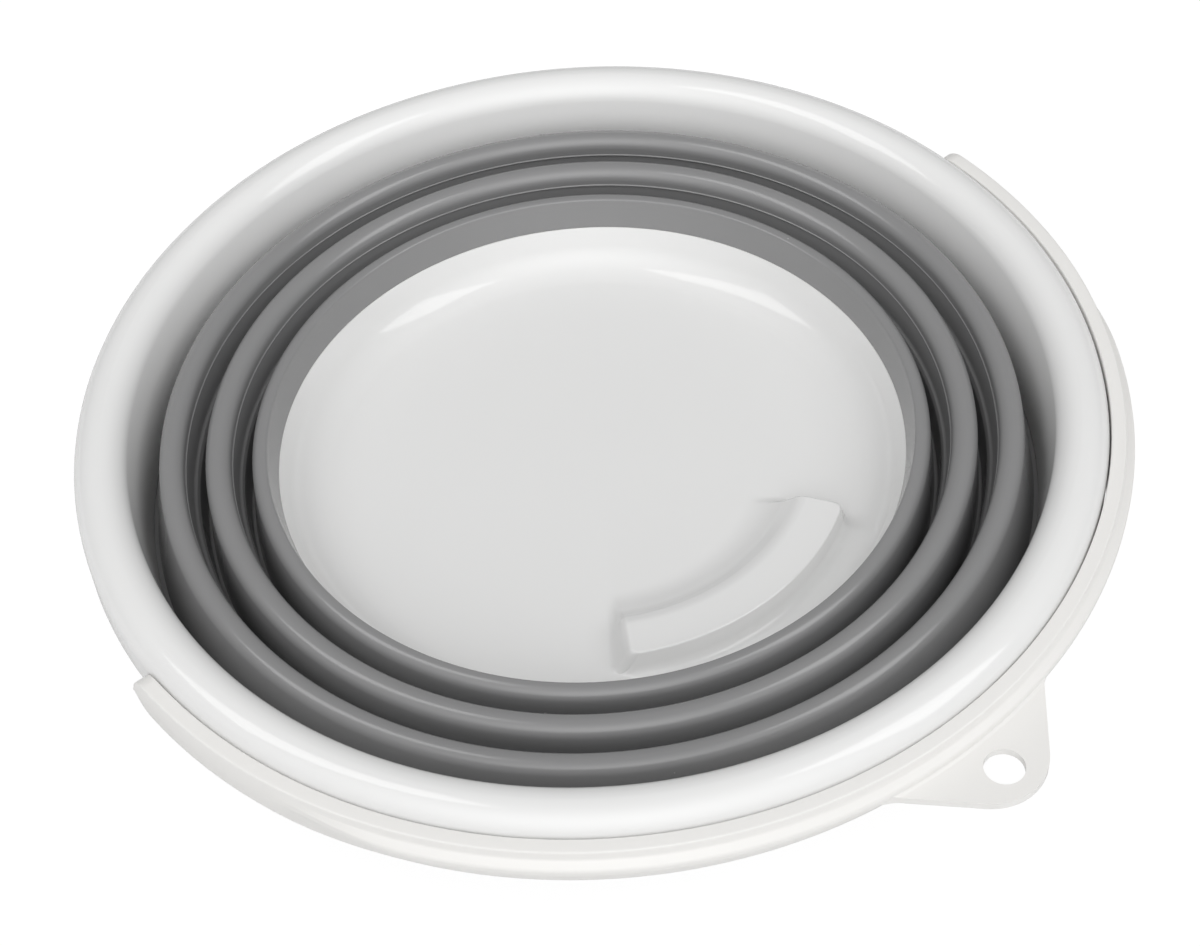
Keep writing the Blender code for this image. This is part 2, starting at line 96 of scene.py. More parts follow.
camera_data = bpy.data.cameras.new("camera")
camera_data.lens = CAMERA_LENS
camera_data.clip_start = CAMERA_NEAR
camera = bpy.data.objects.new("camera", camera_data)
bpy.context.scene.collection.objects.link(camera)
aim = (CAMERA_AIM - CAMERA_PLACE).to_track_quat("-Z", "Y").to_matrix().to_4x4()
camera.matrix_world = Matrix.Translation(CAMERA_PLACE) @ aim @ Matrix.Rotation(CAMERA_ROLL, 4, "Z")
bpy.context.scene.camera = camera
bpy.context.scene.view_settings.view_transform = "Standard"
print("camera is", round((CAMERA_PLACE - CAMERA_AIM).length, 3), "m away")

# %% [markdown]
# ## The light
#
# White plastic on white needs even light. A pale sky does most of the work, and it is brighter
# on the viewer's side, at a height that reaches over each fold into the far valleys. Two tall
# soft boxes at the sides do the rest and add the pale patches on the rim and the folds. Lamps
# alone could light it too, but they would leave hard shadows between the folds. Each box is
# placed by the direction that its patches mirror.

# %% Hang the soft boxes
LAMP_DISTANCE = 1.2
# Azimuth and height in degrees, width and height in metres, power in watts
SOFT_BOXES = {
    "left_soft_box": (145.0, 59.0, 0.42, 0.84, 2.8),
    "right_soft_box": (-58.0, 50.0, 0.42, 0.84, 2.8),
}


def direction(azimuth, elevation):
    """Unit direction from an azimuth and a height above the horizon, in degrees."""
    turn, rise = math.radians(azimuth), math.radians(elevation)
    return Vector((math.cos(rise) * math.cos(turn), math.cos(rise) * math.sin(turn),
                   math.sin(rise)))


def place_soft_box(name, azimuth, elevation, width, height, power):
    """A rectangular lamp that looks at the middle of the bucket."""
    lamp_data = bpy.data.lights.new(name, "AREA")
    lamp_data.shape = "RECTANGLE"
    lamp_data.size = width
    lamp_data.size_y = height
    lamp_data.energy = power
    lamp = bpy.data.objects.new(name, lamp_data)
    bpy.context.scene.collection.objects.link(lamp)
    away = direction(azimuth, elevation)
    lamp.location = away * LAMP_DISTANCE
    lamp.rotation_euler = (-away).to_track_quat("-Z", "Y").to_euler()


for box_name, settings in SOFT_BOXES.items():
    place_soft_box(box_name, *settings)
print("soft boxes:", len(SOFT_BOXES))

# %% Helpers for node trees
def add_node(tree, kind, **settings):
    """A shader node, with values set on its named sockets or properties."""
    node = tree.nodes.new(kind)
    for key, value in settings.items():
        if key in node.inputs:
            node.inputs[key].default_value = value
        else:
            setattr(node, key, value)
    return node


def seen_by_eye(tree):
    """1 for rays that show the background: straight, or through a clear part."""
    path = add_node(tree, "ShaderNodeLightPath")
    either = add_node(tree, "ShaderNodeMath", operation="MAXIMUM")
    tree.links.new(path.outputs["Is Camera Ray"], either.inputs[0])
    tree.links.new(path.outputs["Is Transmission Ray"], either.inputs[1])
    return either.outputs[0]


# %% Make the sky
SKY_EVEN = 0.28
SKY_GLOW = 2.0
SKY_GLOW_SHARPNESS = 6.0
SKY_GLOW_AZIMUTH = -127.0
SKY_GLOW_HEIGHT = 42.0

sky = bpy.data.worlds.new("sky")
sky.use_nodes = True
bpy.context.scene.world = sky
tree = sky.node_tree
background = tree.nodes["Background"]
background.inputs["Color"].default_value = (1.0, 1.0, 1.0, 1.0)
outward = add_node(tree, "ShaderNodeTexCoord")
towards = add_node(tree, "ShaderNodeVectorMath", operation="DOT_PRODUCT")
towards.inputs[1].default_value = direction(SKY_GLOW_AZIMUTH, SKY_GLOW_HEIGHT)
facing = add_node(tree, "ShaderNodeMath", operation="MAXIMUM")
facing.inputs[1].default_value = 0.0
focus = add_node(tree, "ShaderNodeMath", operation="POWER")
focus.inputs[1].default_value = SKY_GLOW_SHARPNESS
sky_light = add_node(tree, "ShaderNodeMath", operation="MULTIPLY_ADD")
sky_light.inputs[1].default_value = SKY_GLOW
sky_light.inputs[2].default_value = SKY_EVEN
white_for_eye = add_node(tree, "ShaderNodeMix", data_type="FLOAT")
white_for_eye.inputs["B"].default_value = 1.0
tree.links.new(outward.outputs["Generated"], towards.inputs[0])
tree.links.new(towards.outputs["Value"], facing.inputs[0])
tree.links.new(facing.outputs[0], focus.inputs[0])
tree.links.new(focus.outputs[0], sky_light.inputs[0])
tree.links.new(sky_light.outputs[0], white_for_eye.inputs["A"])
tree.links.new(seen_by_eye(tree), white_for_eye.inputs["Factor"])
tree.links.new(white_for_eye.outputs["Result"], background.inputs["Strength"])
print("sky glows at", SKY_GLOW_HEIGHT, "degrees")

# %% [markdown]
# ### The floor
#
# The picture's ground is plain white with a faint shadow. A white sheet alone would show its
# own shading, and a glowing one would lose the shadow. So the sheet is both: nine tenths of
# what the eye sees of it glows, and the rest is matt and keeps the shadow.

# %% Lay the floor
FLOOR_SIZE = 8.0
FLOOR_COLOUR = (0.86, 0.86, 0.86, 1.0)
FLOOR_GLOW_SHARE = 0.9
FLOOR_GLOW = 1.06

sheet = bmesh.new()
bmesh.ops.create_grid(sheet, x_segments=1, y_segments=1, size=FLOOR_SIZE / 2)
floor_mesh = bpy.data.meshes.new("floor")
sheet.to_mesh(floor_mesh)
sheet.free()
floor = bpy.data.objects.new("floor", floor_mesh)
bpy.context.scene.collection.objects.link(floor)
floor_look = bpy.data.materials.new("floor")
floor_look.use_nodes = True
tree = floor_look.node_tree
tree.nodes.clear()
matt = add_node(tree, "ShaderNodeBsdfDiffuse", Color=FLOOR_COLOUR)
glow = add_node(tree, "ShaderNodeEmission", Strength=FLOOR_GLOW)
glow_share = add_node(tree, "ShaderNodeMath", operation="MULTIPLY")
glow_share.inputs[1].default_value = FLOOR_GLOW_SHARE
both = add_node(tree, "ShaderNodeMixShader")
out = add_node(tree, "ShaderNodeOutputMaterial")
tree.links.new(seen_by_eye(tree), glow_share.inputs[0])
tree.links.new(glow_share.outputs[0], both.inputs[0])
tree.links.new(matt.outputs[0], both.inputs[1])
tree.links.new(glow.outputs[0], both.inputs[2])
tree.links.new(both.outputs[0], out.inputs["Surface"])
floor_mesh.materials.append(floor_look)
print("floor is", FLOOR_SIZE, "m wide")

# %% [markdown]
# ## The finishes
#
# Four finishes are made. The rim and the dish are glossy white polypropylene: nearly even, with
# a long soft waviness from the mould that bends the reflections a little. The dish's white is a
# shade darker: painted shade for the dimmer light in the dish. The handle is the same plastic
# from a duller mould, a touch warmer. The folding wall is a shiny grey rubber with a fine grain
# and odd specks. A painted picture could carry all this, but noise on Object coordinates sits in
# the piece, has no seam and needs no picture.

# %% Helpers for a moulded finish
# Scales are about the number of waves or cells in a metre
DRIFT_SCALE = 22.0
PATCH_SCALE = 60.0
WAVE_SCALE = 38.0
SPECK_SCALE = 90.0
# A speck's radius as a share of its cell
SPECK_SIZE = 0.045
GLOSS_DRIFT = 0.18


def noise_in_piece(tree, place, scale, detail, **settings):
    """Noise that sits in the piece."""
    noise = add_node(tree, "ShaderNodeTexNoise", Scale=scale, Detail=detail, **settings)
    tree.links.new(place.outputs["Object"], noise.inputs["Vector"])
    return noise.outputs["Fac"]


def drifting_colour(tree, place, colour, drift):
    """The colour, a little lighter and darker from place to place."""
    tone = add_node(tree, "ShaderNodeMix", data_type="RGBA")
    tone.inputs[6].default_value = [channel * (1 - drift) for channel in colour[:3]] + [1.0]
    tone.inputs[7].default_value = [channel * (1 + drift) for channel in colour[:3]] + [1.0]
    tree.links.new(noise_in_piece(tree, place, DRIFT_SCALE, 4.0, Roughness=0.55),
                   tone.inputs["Factor"])
    return tone.outputs[2]


def below(tree, value, limit):
    """1 where a value is below a limit."""
    test = add_node(tree, "ShaderNodeMath", operation="LESS_THAN")
    test.inputs[1].default_value = limit
    tree.links.new(value, test.inputs[0])
    return test.outputs[0]


def add_specks(tree, place, surface_colour, share, speck_colour):
    """Round specks in a share of the cells of a cell pattern."""
    cells = add_node(tree, "ShaderNodeTexVoronoi", Scale=SPECK_SCALE)
    tree.links.new(place.outputs["Object"], cells.inputs["Vector"])
    chance = add_node(tree, "ShaderNodeSeparateColor")
    tree.links.new(cells.outputs["Color"], chance.inputs["Color"])
    here = add_node(tree, "ShaderNodeMath", operation="MULTIPLY")
    tree.links.new(below(tree, cells.outputs["Distance"], SPECK_SIZE), here.inputs[0])
    tree.links.new(below(tree, chance.outputs["Red"], share), here.inputs[1])
    speckled = add_node(tree, "ShaderNodeMix", data_type="RGBA")
    speckled.inputs[7].default_value = speck_colour
    tree.links.new(here.outputs[0], speckled.inputs["Factor"])
    tree.links.new(surface_colour, speckled.inputs[6])
    return speckled.outputs[2]


def drifting_gloss(tree, place, roughness):
    """The roughness, a little higher and lower in patches."""
    gloss = add_node(tree, "ShaderNodeMapRange")
    gloss.inputs["To Min"].default_value = roughness * (1 - GLOSS_DRIFT)
    gloss.inputs["To Max"].default_value = roughness * (1 + GLOSS_DRIFT)
    tree.links.new(noise_in_piece(tree, place, PATCH_SCALE, 6.0), gloss.inputs["Value"])
    return gloss.outputs["Result"]


def waves_and_grain(tree, place, wave_depth, grain_depth, grain_size):
    """The mould's long waves, with its fine grain on top of them."""
    wave = add_node(tree, "ShaderNodeBump", Strength=1.0, Distance=wave_depth)
    grain = add_node(tree, "ShaderNodeBump", Strength=1.0, Distance=grain_depth)
    tree.links.new(noise_in_piece(tree, place, WAVE_SCALE, 1.0), wave.inputs["Height"])
    tree.links.new(noise_in_piece(tree, place, 1 / grain_size, 2.0), grain.inputs["Height"])
    tree.links.new(wave.outputs["Normal"], grain.inputs["Normal"])
    return grain.outputs["Normal"]


# %% Build the finishes
SPECK_SHARE = 0.05
SPECK_COLOUR = (0.42, 0.42, 0.42, 1.0)
# Strength of the mirrored light, where 0.5 is a plain plastic's
PLAIN_MIRROR = 0.5
RUBBER_MIRROR = 0.65


def moulded_finish(name, colour, roughness, drift, wave_depth, grain_depth, grain_size,
                   mirror=PLAIN_MIRROR, has_specks=False):
    """A moulded plastic with drifting colour and gloss, long waves and a fine grain."""
    look = bpy.data.materials.new(name)
    look.use_nodes = True
    look.diffuse_color = colour
    tree = look.node_tree
    shader = tree.nodes["Principled BSDF"]
    shader.inputs["Specular IOR Level"].default_value = mirror
    place = add_node(tree, "ShaderNodeTexCoord")
    surface_colour = drifting_colour(tree, place, colour, drift)
    if has_specks:
        surface_colour = add_specks(tree, place, surface_colour, SPECK_SHARE, SPECK_COLOUR)
    tree.links.new(surface_colour, shader.inputs["Base Color"])
    tree.links.new(drifting_gloss(tree, place, roughness), shader.inputs["Roughness"])
    tree.links.new(waves_and_grain(tree, place, wave_depth, grain_depth, grain_size),
                   shader.inputs["Normal"])
    return look


glossy_white = moulded_finish("glossy_white", (0.86, 0.86, 0.855, 1.0), roughness=0.09,
                              drift=0.008, wave_depth=0.05 * MM, grain_depth=0.001 * MM,
                              grain_size=0.5 * MM)
# The dish's white is the rim's glossy white made darker: painted shade for the dimmer light in the
# dish.
dish_white_painted_shade = moulded_finish("dish_white_painted_shade", (0.82, 0.82, 0.815, 1.0), roughness=0.09,
                            drift=0.008, wave_depth=0.05 * MM, grain_depth=0.001 * MM,
                            grain_size=0.5 * MM)
warm_white = moulded_finish("warm_white", (0.87, 0.86, 0.84, 1.0), roughness=0.33, drift=0.01,
                            wave_depth=0.05 * MM, grain_depth=0.003 * MM, grain_size=0.4 * MM)
soft_grey = moulded_finish("soft_grey", (0.262, 0.262, 0.264, 1.0), roughness=0.19, drift=0.03,
                           wave_depth=0.06 * MM, grain_depth=0.006 * MM, grain_size=0.35 * MM,
                           mirror=RUBBER_MIRROR, has_specks=True)
print("finishes:", glossy_white.name, dish_white_painted_shade.name, warm_white.name, soft_grey.name)

# %% [markdown]
# ## Drawing a section and spinning it
#
# A turned piece is one outline in radius and height. It could be drawn point by point, but then
# no rounding could be changed. So each corner is a single point with the radius of its rounding.
# A corner bevel cuts back both sides by r / tan(half the corner's angle), which is just where a
# circle of radius r touches them, so the bevel's round profile is a true arc. Spinning the
# finished outline once round closes the piece.

# %% Helpers for turned pieces
TURN_STEPS = 240
CORNER_STEPS = 8
WELD = 0.001 * MM


def draw_outline(corners, is_closed=True, steps=CORNER_STEPS):
    """A wire outline from (radius, height, rounding) corners in millimetres."""
    shape = bmesh.new()
    points = [shape.verts.new((radius * MM, 0.0, height * MM)) for radius, height, _ in corners]
    places = [point.co.copy() for point in points]
    pairs = list(zip(points, points[1:]))
    if is_closed:
        pairs.append((points[-1], points[0]))
    for pair in pairs:
        shape.edges.new(pair)
    for index, (_, _, rounding) in enumerate(corners):
        if rounding == 0:
            continue
        here = places[index]
        before = (places[index - 1] - here).normalized()
        after = (places[(index + 1) % len(places)] - here).normalized()
        half = before.angle(after) / 2
        bmesh.ops.bevel(shape, geom=[points[index]], offset=rounding * MM / math.tan(half),
                        offset_type="OFFSET", segments=steps, profile=0.5, affect="VERTICES",
                        material=-1)
    return shape


def spin_whole(shape):
    """Spin an outline once round the middle axis."""
    bmesh.ops.spin(shape, geom=shape.verts[:] + shape.edges[:], cent=(0, 0, 0), axis=(0, 0, 1),
                   angle=math.tau, steps=TURN_STEPS, use_merge=True)
    bmesh.ops.remove_doubles(shape, verts=shape.verts, dist=WELD)
    return shape


def spin_legs(shape, start, legs):
    """Turn an outline to its start, then spin it through legs of an angle and its steps."""
    bmesh.ops.rotate(shape, verts=shape.verts, cent=(0, 0, 0),
                     matrix=Matrix.Rotation(start, 3, "Z"))
    ring = shape.verts[:] + shape.edges[:]
    for turn, steps in legs:
        ring = bmesh.ops.spin(shape, geom=ring, cent=(0, 0, 0), axis=(0, 0, 1), angle=turn,
                              steps=steps, use_merge=False)["geom_last"]
    bmesh.ops.remove_doubles(shape, verts=shape.verts, dist=WELD)
    return shape


# %% Helpers for finished pieces
SMOOTH_ANGLE = math.radians(32.0)


def add_object(name, shape):
    """An object of a bmesh, with its faces turned outwards."""
    bmesh.ops.recalc_face_normals(shape, faces=shape.faces)
    mesh = bpy.data.meshes.new(name)
    shape.to_mesh(mesh)
    shape.free()
    piece = bpy.data.objects.new(name, mesh)
    bpy.context.scene.collection.objects.link(piece)
    return piece


def cover(piece, look):
    """Give a piece its finish, smooth but for its sharp edges."""
    piece.data.materials.clear()
    piece.data.materials.append(look)
    piece.data.shade_smooth()
    piece.data.set_sharp_from_angle(angle=SMOOTH_ANGLE)


def finish_piece(name, shape, look, body, nodes):
    """Turn a shape into a piece that stands for its solids and, if it has a body, rides on it."""
    piece = add_object(name, shape)
    cover(piece, look)
    if body is not None:
        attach(piece, body)
    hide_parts(*nodes)
    print(name, len(piece.data.polygons), "faces")
    return piece


def combine(piece, helpers):
    """Join or cut a piece with helper objects, keep the result, and remove the helpers."""
    for helper, operation in helpers:
        step = piece.modifiers.new(helper.name, "BOOLEAN")
        step.operation = operation
        step.solver = "EXACT"
        step.object = helper
    bpy.context.view_layer.update()
    shaped = piece.evaluated_get(bpy.context.evaluated_depsgraph_get())
    mesh = bpy.data.meshes.new_from_object(shaped)
    old = piece.data
    piece.modifiers.clear()
    piece.data = mesh
    bpy.data.meshes.remove(old)
    for helper, _ in helpers:
        bpy.data.objects.remove(helper)


# %% [markdown]
# ## The rim
#
# The rim is an upside-down channel: a tall, slightly leaning inner wall, a broad gently crowned
# collar and a short outer skirt. It is hollow from below, where thin radial ribs stiffen it,
# and it carries the two sockets of the handle. It could be cut from a solid ring, but one
# outline that goes round both sides of the wall makes the channel at once. The ribs and sockets
# are joined on, and the socket holes cut, because they are the only parts that aren't turned.

# %% Helpers for blocks and bars
BAR_STEPS = 48


def add_block(shape, low, high, angle):
    """A block between two corners, turned round the middle axis."""
    size = high - low
    place = (Matrix.Rotation(angle, 4, "Z") @ Matrix.Translation((low + high) / 2)
             @ Matrix.Diagonal((*size, 1.0)))
    bmesh.ops.create_cube(shape, size=1.0, matrix=place)


def add_bar(shape, radius, inner, outer, side):
    """A round bar along X at the pivots' height, on one side of the middle axis."""
    middle = side * (inner + outer) / 2
    place = Matrix.Translation((middle, 0.0, pivot_height)) @ Matrix.Rotation(math.pi / 2, 4, "Y")
    bmesh.ops.create_cone(shape, cap_ends=True, segments=BAR_STEPS, radius1=radius,
                          radius2=radius, depth=outer - inner, matrix=place)


# %% Turn the rim
# Radius, height and rounding of each corner, as in every section that follows
RIM_SECTION = (
    (139.4, 3.2, 0.5),
    (142.8, 40.1, 7.6),
    (149.7, 40.5, 6.0),
    (158.5, 40.3, 8.2),
    (158.5, 23.0, 0.5),
    (156.5, 23.0, 0.4),
    (156.5, 38.3, 7.6),
    (148.4, 38.5, 5.0),
    (144.7, 38.3, 3.0),
    (141.4, 3.2, 0.5),
)

rim = finish_piece("rim_shell", spin_whole(draw_outline(RIM_SECTION)), glossy_white, "rim",
                   ("rim",))

# %% Add its ribs and sockets
RIB_COUNT = 16
RIB_WALL = 1.5 * MM
RIB_BOTTOM = 27.0 * MM
RIB_TOP = 35.0 * MM
RIB_INNER = 143.1 * MM
RIB_OUTER = 157.5 * MM
SOCKET_RADIUS = 3.6 * MM
SOCKET_WALL = 1.6 * MM
SOCKET_INNER = 153.5 * MM
HOLE_OVERRUN = 1.0 * MM

ribs = bmesh.new()
sockets = bmesh.new()
holes = bmesh.new()
for index in range(RIB_COUNT):
    add_block(ribs, Vector((RIB_INNER, -RIB_WALL / 2, RIB_BOTTOM)),
              Vector((RIB_OUTER, RIB_WALL / 2, RIB_TOP)), math.tau * (index + 0.5) / RIB_COUNT)
for side in (-1, 1):
    add_bar(sockets, SOCKET_RADIUS + SOCKET_WALL, SOCKET_INNER, RIB_OUTER, side)
    add_bar(holes, SOCKET_RADIUS, SOCKET_INNER - HOLE_OVERRUN, rim_radius + HOLE_OVERRUN, side)
combine(rim, [(add_object("ribs", ribs), "UNION"), (add_object("sockets", sockets), "UNION"),
              (add_object("socket_holes", holes), "DIFFERENCE")])
cover(rim, glossy_white)
print("rim with", RIB_COUNT, "ribs:", len(rim.data.polygons), "faces")

# %% [markdown]
# ## The dish
#
# The base is a shallow dish with a soft corner between its floor and its leaning wall. Near its
# front, a finger grip is pressed up into the floor: from above it is an arched pad with a crisp
# outer edge, a long soft slope towards the middle and drafted ends. The pad could be a block
# joined on, but its foot would be hard. A pressing keeps every point's place and only lifts it.
# So the section through the pad is spun all the way round, and away from the pad each point is
# let down again to the plain dish.

# %% Draw the dish's sections
DISH_FLOOR = 3.0
DISH_PANEL = 0.8
DISH_MOUTH = (98.0, 16.0)
DISH_EDGE = (99.2, 16.0)
DISH_FILLET = 13.0
WALL_LEAN = math.radians(25.0)
FILLET_START = (DISH_MOUTH[0] - (DISH_MOUTH[1] - DISH_FLOOR) * math.tan(WALL_LEAN)
                - DISH_FILLET * math.tan((math.pi / 2 - WALL_LEAN) / 2))
FOOT_RING_INNER = 76.055
PAD_TOP = 12.0
PAD_OUTER_EDGE = 81.2
PAD_CORNER = 2.5
POCKET_TOP = 9.8

DISH_TOP_SECTION = (
    (0.0, DISH_FLOOR, 0),
    (57.5, DISH_FLOOR, 19.0),
    (67.8, PAD_TOP, 7.0),
    # Three points inside the edge carry the pad's corners, which are round in plan
    (78.7, PAD_TOP, 0),
    (79.6, PAD_TOP, 0),
    (80.4, PAD_TOP, 0),
    (PAD_OUTER_EDGE, PAD_TOP, 0.6),
    (82.3, 3.4, 3.2),
    (93.0, 4.9, 10.5),
    (*DISH_MOUTH, 0.35),
    (*DISH_EDGE, 0),
)
DISH_UNDER_SECTION = (
    (*DISH_EDGE, 0),
    (100.43, 16.0, 0.3),
    (93.34, DISH_PANEL, 15.2),
    (82.06, DISH_PANEL, 0),
    (82.06, 0.0, 0.35),
    (79.3, 0.0, 0.3),
    (77.9, POCKET_TOP, 0.8),
    # Away from the pad, these two points make the upright inner side of the foot ring
    (76.06, POCKET_TOP, 0),
    (76.05, POCKET_TOP, 0),
    (69.4, POCKET_TOP, 2.5),
    (64.8, DISH_PANEL, 1.5),
    (16.0, DISH_PANEL, 0),
    (16.0, 0.0, 0.3),
    (0.0, 0.0, 0),
)
print("the dish's soft corner starts at", round(FILLET_START, 2), "mm")

# %% Tell the plain dish from the pressed one
TOP_PRESS_END = 97.6
UNDER_PRESS_START = 60.0
UNDER_PRESS_END = 79.4
PAD_HALF_SPAN = math.radians(32.2)
PAD_RADIUS = 74.0
PAD_DRAFT = 3.4
PAD_WALL = 2.2
PAD_SHOULDER_SHARE = 0.3
PAD_FOOT_SHARE = 0.6


def plain_top(radius):
    """Height of the plain dish's upper side, or None where the pressing ends."""
    if radius > TOP_PRESS_END:
        return None
    if radius <= FILLET_START:
        return DISH_FLOOR
    fillet = DISH_MOUTH[1] - math.sqrt(max(0.0, DISH_FILLET ** 2 - (radius - FILLET_START) ** 2))
    wall = DISH_MOUTH[1] - (DISH_MOUTH[0] - radius) / math.tan(WALL_LEAN)
    return fillet if radius < FILLET_START + DISH_FILLET * math.cos(WALL_LEAN) else wall


def plain_under(radius):
    """Height of the plain underside: the foot ring, and the panel inside it."""
    if radius > UNDER_PRESS_END or radius < UNDER_PRESS_START:
        return None
    return 0.0 if radius > FOOT_RING_INNER else DISH_PANEL


def corner_cut(radius):
    """How far the pad's ends are cut back near its outer edge, for corners round in plan."""
    into = min(1.0, max(0.0, 1 - (PAD_OUTER_EDGE - radius) / PAD_CORNER))
    return PAD_CORNER * (1 - math.sqrt(1 - into ** 2))


def pad_share(angle, half_span, radius):
    """1 on the pad, falling along its drafted ends, with a soft shoulder and a soft foot."""
    fall = ((abs(angle) - half_span) * PAD_RADIUS + corner_cut(radius)) / PAD_DRAFT
    if fall < PAD_SHOULDER_SHARE:
        fall = max(0.0, fall + PAD_SHOULDER_SHARE) ** 2 / (4 * PAD_SHOULDER_SHARE)
    elif fall > 1 - PAD_FOOT_SHARE:
        fall = 1 - max(0.0, 1 + PAD_FOOT_SHARE - fall) ** 2 / (4 * PAD_FOOT_SHARE)
    return 1 - fall


# %% Press both sides of the dish
FINE_START = math.radians(29.0)
FINE_END = math.radians(37.0)
FINE_STEPS = 40
PAD_STEPS = 38
PLAIN_STEPS = 150


def press(section, plain_height, half_span):
    """Spin the section through the pad, finely at its ends, and let down the rest."""
    fine = (FINE_END - FINE_START, FINE_STEPS)
    legs = (fine, (2 * FINE_START, PAD_STEPS), fine, (math.tau - 2 * FINE_END, PLAIN_STEPS))
    shape = spin_legs(draw_outline(section, is_closed=False), -math.pi / 2 - FINE_END, legs)
    for corner in shape.verts:
        radius = math.hypot(corner.co.x, corner.co.y) / MM
        plain = plain_height(radius)
        if plain is not None:
            share = pad_share(math.atan2(corner.co.x, -corner.co.y), half_span, radius)
            corner.co.z = plain * MM + (corner.co.z - plain * MM) * share
    return shape


dish_shape = press(DISH_TOP_SECTION, plain_top, PAD_HALF_SPAN)
dish_under = press(DISH_UNDER_SECTION, plain_under, PAD_HALF_SPAN - PAD_WALL / PAD_RADIUS)
under_mesh = bpy.data.meshes.new("dish_under")
dish_under.to_mesh(under_mesh)
dish_under.free()
dish_shape.from_mesh(under_mesh)
bpy.data.meshes.remove(under_mesh)
bmesh.ops.remove_doubles(dish_shape, verts=dish_shape.verts, dist=WELD)
dish = finish_piece("dish", dish_shape, dish_white_painted_shade, "base", ("base",))

# %% Add the ribs under the dish
DISH_RIB_COUNT = 6
DISH_RIB_WALL = 2.2
DISH_RIB_INNER = 14.0
DISH_RIB_OUTER = 78.0
DISH_RIB_OUTER_BY_PAD = 63.5
DISH_RIB_BOTTOM = 0.3
DISH_RIB_TOP = 1.9

dish_ribs = bmesh.new()
for index in range(DISH_RIB_COUNT):
    angle = math.tau * (index + 0.5) / DISH_RIB_COUNT
    is_by_pad = abs(angle - 1.5 * math.pi) < PAD_HALF_SPAN
    rib_outer = DISH_RIB_OUTER_BY_PAD if is_by_pad else DISH_RIB_OUTER
    add_block(dish_ribs, Vector((DISH_RIB_INNER, -DISH_RIB_WALL / 2, DISH_RIB_BOTTOM)) * MM,
              Vector((rib_outer, DISH_RIB_WALL / 2, DISH_RIB_TOP)) * MM, angle)
combine(dish, [(add_object("dish_ribs", dish_ribs), "UNION")])
cover(dish, dish_white_painted_shade)
print("dish with", DISH_RIB_COUNT, "ribs:", len(dish.data.polygons), "faces")

# %% [markdown]
# ## The folding wall
#
# The grey wall is one soft moulding. Folded, it hangs in three rings, each with a round crest.
# From a crest, a thin skin drops to the foot of the next, stiffer band, which climbs steeply to
# its own crest, with a narrow ledge half-way up and a fine bead near its top. When the bucket is
# pulled open, only the skins bend, and they turn inside out. The wall could be one mesh, but it
# would have to bend between four bodies at once. So every crest and its skin are one piece,
# listed with the two bodies that it joins, and every band rides on its own body.

# %% Turn the rigid bands and cuffs
DISH_CUFF_SECTION = (
    (98.05, 16.15, 0.15),
    (99.9, 23.5, 0),
    (101.9, 23.5, 0),
    (101.0, 20.3, 1.5),
    (102.55, 18.0, 0.8),
    (102.55, 16.0, 1.5),
    (98.4, 7.0, 0.5),
    (96.7, 7.0, 0.3),
    (100.85, 16.15, 0.1),
)
INNER_BAND_SECTION = (
    (111.6, 24.5, 0),
    (111.6, 23.3, 0.3),
    (111.3, 23.15, 0.15),
    (111.3, 22.8, 0.15),
    (112.0, 22.6, 0.12),
    (110.7, 14.6, 0.8),
    (109.8, 14.3, 0.5),
    (109.2, 13.2, 0.4),
    (108.6, 3.1, 0.4),
    (106.2, 3.1, 0.5),
    (106.2, 1.5, 0.7),
    (111.4, 1.5, 1.3),
    (112.6, 12.5, 1.0),
    (113.8, 15.5, 1.0),
    (113.6, 24.5, 0),
)
OUTER_BAND_SECTION = (
    (125.95, 26.0, 0),
    (125.95, 24.2, 0.3),
    (125.65, 24.05, 0.15),
    (125.65, 23.7, 0.15),
    (126.35, 23.5, 0.12),
    (124.8, 15.3, 0.8),
    (123.8, 15.0, 0.5),
    (123.1, 13.8, 0.4),
    (122.3, 3.1, 0.4),
    (119.9, 3.1, 0.5),
    (119.9, 1.5, 0.7),
    (125.1, 1.5, 1.3),
    (126.4, 13.2, 1.0),
    (128.1, 16.0, 1.0),
    (127.95, 26.0, 0),
)
RIM_CUFF_SECTION = (
    (136.9, 2.95, 0.4),
    (136.9, 1.5, 0.7),
    (143.3, 1.5, 1.3),
    (144.08, 15.2, 0.5),
    (142.4, 15.2, 0.3),
    (141.7, 2.95, 0.2),
)
BANDS = (
    ("dish_cuff", DISH_CUFF_SECTION, "base", "base_cuff"),
    ("inner_band", INNER_BAND_SECTION, "inner_ring", "inner_fold_ring"),
    ("outer_band", OUTER_BAND_SECTION, "outer_ring", "outer_fold_ring"),
    ("rim_cuff_skirt", RIM_CUFF_SECTION, "rim", "rim_cuff"),
)

for name, section, body, node in BANDS:
    finish_piece(name, spin_whole(draw_outline(section)), soft_grey, body, (node,))

# %% [markdown]
# ### The crests and their skins
#
# A skin bends along its whole length, so its long sides get extra points before the outline is
# spun. The bend starts a few millimetres under the crest's top and ends near the skin's foot.
# More points all round could do the same, but they would be lost on the crest, which stays stiff.

